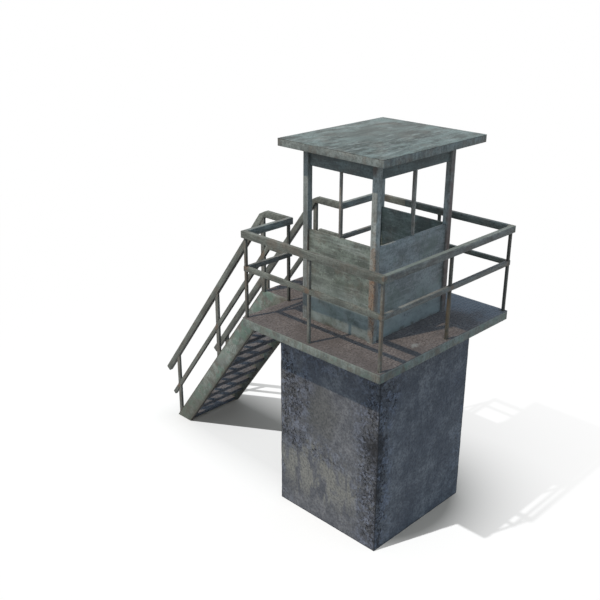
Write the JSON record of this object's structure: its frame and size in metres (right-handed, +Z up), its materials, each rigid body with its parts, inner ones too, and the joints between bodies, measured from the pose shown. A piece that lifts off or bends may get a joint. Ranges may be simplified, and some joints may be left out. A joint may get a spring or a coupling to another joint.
{
  "type": "watchtower",
  "caption": "Small watchtower: a roofed open cab and a railed walkway on a concrete block, with an outside steel stair",
  "frame": {"origin": "on the ground, under the middle of the concrete block", "axes": "+Z up, +Y toward the stair, +X to the right when the stair is behind"},
  "size_m": [2.57, 5.055, 5.044],
  "materials": {
    "concrete": "matte",
    "frame_paint": "matte",
    "wall_paint": "matte",
    "rail_paint": "matte",
    "stair_paint": "matte",
    "deck_steel": "matte",
    "tread_steel": "matte",
    "roof_paint": "matte"
  },
  "bodies": {
    "root": {"concrete_base": "concrete", "deck_side_beams": "frame_paint", "deck_end_beams": "frame_paint", "deck_joists": "frame_paint", "cab_posts": "frame_paint", "heads_short": "frame_paint", "heads_long": "frame_paint", "mullions": "frame_paint", "wall_left": "wall_paint", "wall_right": "wall_paint", "wall_front": "wall_paint", "top_rail_left": "rail_paint", "top_rail_right": "rail_paint", "top_rail_front": "rail_paint", "top_rails_rear": "rail_paint", "mid_rail_left": "rail_paint", "mid_rail_right": "rail_paint", "mid_rail_front": "rail_paint", "mid_rails_rear": "rail_paint", "rail_posts_left": "rail_paint", "rail_posts_right": "rail_paint", "rail_posts_front": "rail_paint", "rail_posts_rear": "rail_paint", "handrail_left": "rail_paint", "handrail_right": "rail_paint", "stair_mid_rail_left": "rail_paint", "stair_mid_rail_right": "rail_paint", "stair_posts_left": "rail_paint", "stair_posts_right": "rail_paint", "stringer_left": "stair_paint", "stringer_right": "stair_paint", "deck_plate": "deck_steel", "landing_plate": "deck_steel", "treads": "tread_steel", "roof_rafters": "roof_paint", "roof_side_beams": "roof_paint", "roof_end_beams": "roof_paint", "roof_sheet": "roof_paint"}
  },
  "joints": []
}
